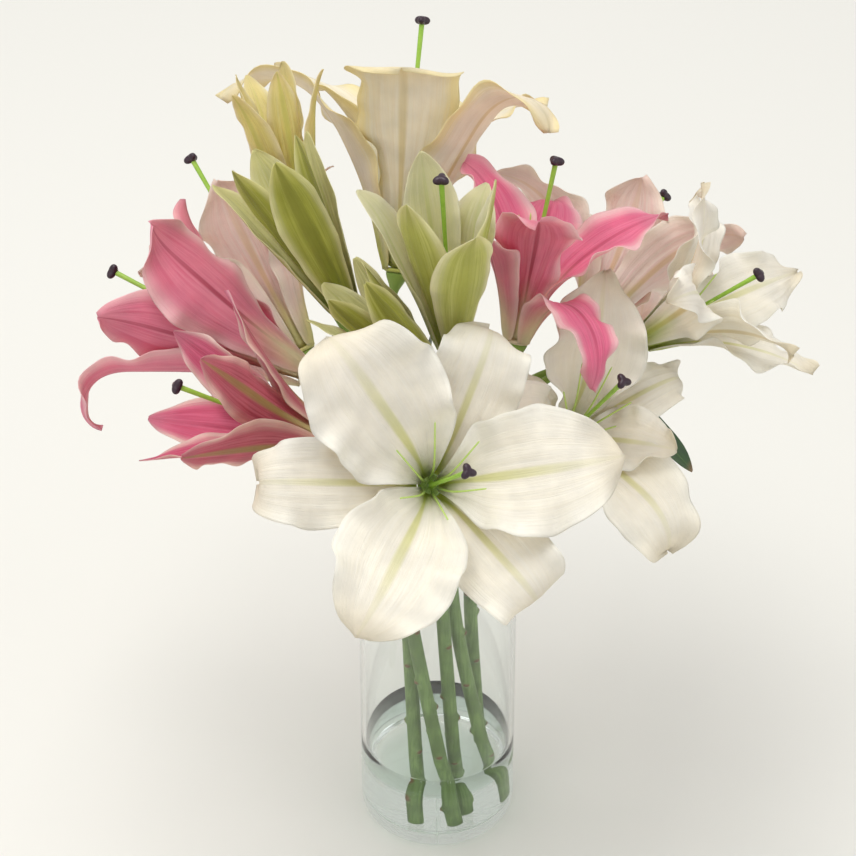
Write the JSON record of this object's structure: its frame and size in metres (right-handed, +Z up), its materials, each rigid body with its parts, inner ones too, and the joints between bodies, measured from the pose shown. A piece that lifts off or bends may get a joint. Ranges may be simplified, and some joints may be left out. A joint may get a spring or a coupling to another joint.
{
  "type": "lilies in a vase",
  "caption": "Bouquet of open and half-open white, pink and green-white lilies standing in a clear cylindrical glass vase with water; free-standing table decoration.",
  "frame": {"origin": "centre of the vase's flat underside, on the surface it stands on", "axes": "+Z up along the vase's axis, -Y towards the front, where the large white lily faces, +X to its right"},
  "size_m": [0.4515, 0.4237, 0.5279],
  "materials": {
    "vase_glass": "gloss",
    "water": "gloss",
    "stem": "satin",
    "leaf": "satin",
    "pistil": "satin",
    "white_tepal": "matte",
    "pink_tepal": "matte",
    "blush_tepal": "matte",
    "green_white_tepal": "matte"
  },
  "bodies": {
    "root": {"front_white_lily_inner_tepal_1": "white_tepal", "front_white_lily_outer_tepal_1": "white_tepal", "front_white_lily_inner_tepal_2": "white_tepal", "front_white_lily_outer_tepal_2": "white_tepal", "front_white_lily_inner_tepal_3": "white_tepal", "front_white_lily_outer_tepal_3": "white_tepal", "front_white_lily_pistil": "pistil", "front_white_lily_stamens": "pistil", "top_white_lily_outer_tepals": "white_tepal", "top_white_lily_inner_tepals": "white_tepal", "top_white_lily_stamens_and_pistil": "pistil", "centre_green_lily_outer_tepals": "green_white_tepal", "centre_green_lily_inner_tepals": "green_white_tepal", "centre_green_lily_pistil": "pistil", "left_green_bud_outer_tepals": "green_white_tepal", "left_green_bud_inner_tepals": "green_white_tepal", "top_left_yellow_bud_outer_tepals": "green_white_tepal", "top_left_yellow_bud_inner_tepals": "green_white_tepal", "small_green_bud_outer_tepals": "green_white_tepal", "small_green_bud_inner_tepals": "green_white_tepal", "left_pink_lily_outer_tepals": "pink_tepal", "left_pink_lily_inner_tepals": "pink_tepal", "left_pink_lily_stamens_and_pistil": "pistil", "left_back_pink_lily_outer_tepals": "blush_tepal", "left_back_pink_lily_inner_tepals": "blush_tepal", "left_back_pink_lily_stamens_and_pistil": "pistil", "left_front_pink_lily_outer_tepals": "pink_tepal", "left_front_pink_lily_inner_tepals": "pink_tepal", "left_front_pink_lily_pistil": "pistil", "centre_pink_lily_outer_tepals": "pink_tepal", "centre_pink_lily_inner_tepals": "pink_tepal", "centre_pink_lily_stamens_and_pistil": "pistil", "right_back_pink_lily_outer_tepals": "blush_tepal", "right_back_pink_lily_inner_tepals": "blush_tepal", "right_back_pink_lily_stamens_and_pistil": "pistil", "right_white_lily_outer_tepals": "white_tepal", "right_white_lily_inner_tepals": "white_tepal", "right_white_lily_pistil": "pistil", "right_white_lily_stamens": "pistil", "far_right_white_lily_outer_tepals": "white_tepal", "far_right_white_lily_inner_tepals": "white_tepal", "far_right_white_lily_pistil": "pistil", "far_right_white_lily_stamens": "pistil", "stem_1": "stem", "stem_2": "stem", "stem_3": "stem", "stem_4": "stem", "stem_5": "stem", "leaf_right": "leaf", "leaf_centre_high": "leaf", "leaf_centre_low": "leaf", "leaf_left": "leaf", "leaf_mouth": "leaf", "vase": "vase_glass", "water": "water"}
  },
  "joints": []
}
